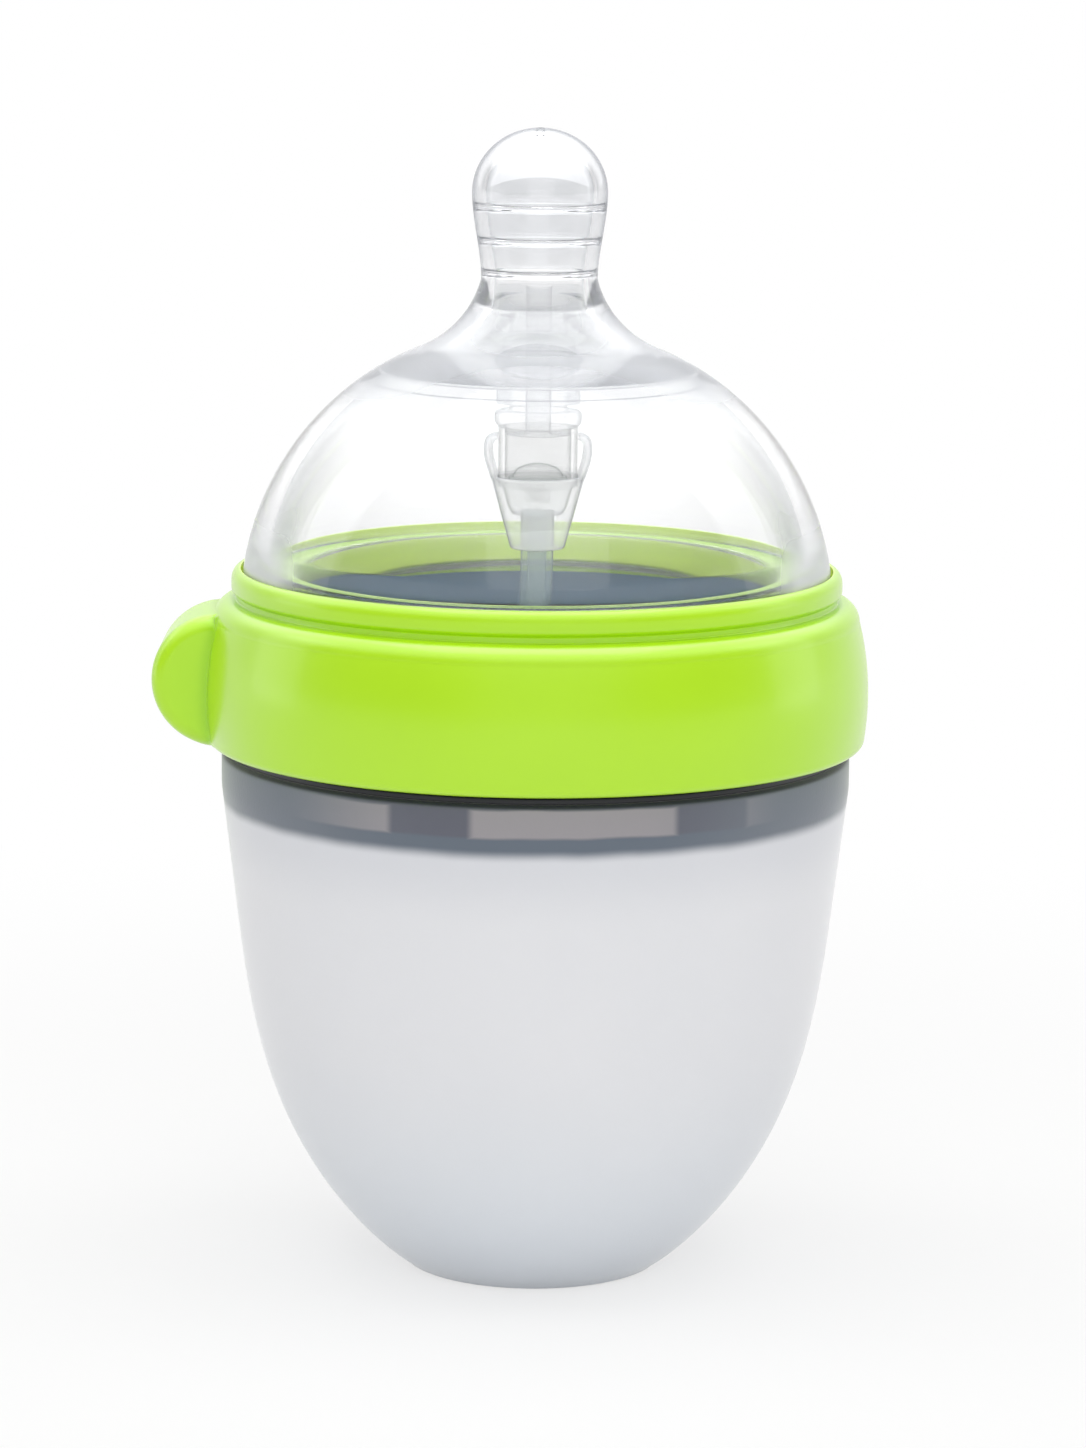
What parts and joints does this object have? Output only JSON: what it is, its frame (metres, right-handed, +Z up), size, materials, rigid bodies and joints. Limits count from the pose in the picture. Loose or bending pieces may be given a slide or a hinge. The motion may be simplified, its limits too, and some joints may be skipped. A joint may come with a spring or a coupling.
{
  "type": "baby bottle",
  "caption": "Wide-neck feeding bottle: frosted silicone bowl, green screw collar with thumb tab, clear silicone nipple and a weighted-straw drinking adapter.",
  "frame": {"origin": "centre of the flat foot that the bottle stands on", "axes": "+Z up along the bottle's axis, the thumb tab points to -X, and the drinking adapter's ears lie along X"},
  "size_m": [0.083, 0.0772, 0.1332],
  "materials": {
    "frosted_silicone": "matt frosted translucent silicone",
    "grey_plastic": "satin moulded polypropylene",
    "green_plastic": "glossy moulded polypropylene",
    "clear_silicone": "polished clear silicone",
    "soft_silicone": "soft milky silicone",
    "clear_plastic": "clear moulded plastic",
    "valve_silicone": "soft translucent silicone",
    "straw_silicone": "translucent silicone tube",
    "white_plastic": "satin white plastic",
    "steel": "turned stainless steel"
  },
  "bodies": {
    "bottle": {"bottle_body": "frosted_silicone", "neck_ring": "grey_plastic"},
    "feeding_set": {"nipple": "clear_silicone", "adapter_plug": "soft_silicone", "adapter_barrel": "clear_plastic", "adapter_holder": "clear_plastic", "straw": "straw_silicone", "weight_cap": "white_plastic", "weight_cup": "white_plastic", "weight_core": "steel"},
    "screw_collar": {"collar": "green_plastic"},
    "valve": {"one_way_valve": "valve_silicone"}
  },
  "joints": [
    {"name": "collar_lift", "type": "slide", "parent": "bottle", "child": "feeding_set", "axis": [0, 0, 1], "range_m": [0, 0.006]},
    {"name": "collar_screw", "type": "hinge", "parent": "feeding_set", "child": "screw_collar", "pos_m": [0, 0, 0.07], "axis": [0, 0, 1], "range_deg": [0, 540]},
    {"name": "valve_lift", "type": "slide", "parent": "feeding_set", "child": "valve", "axis": [0, 0, 1], "range_m": [0, 0.0008]}
  ],
  "couplings": [
    {"joint": "collar_lift", "follows": "collar_screw", "m_per_rad": 0.00063662}
  ]
}
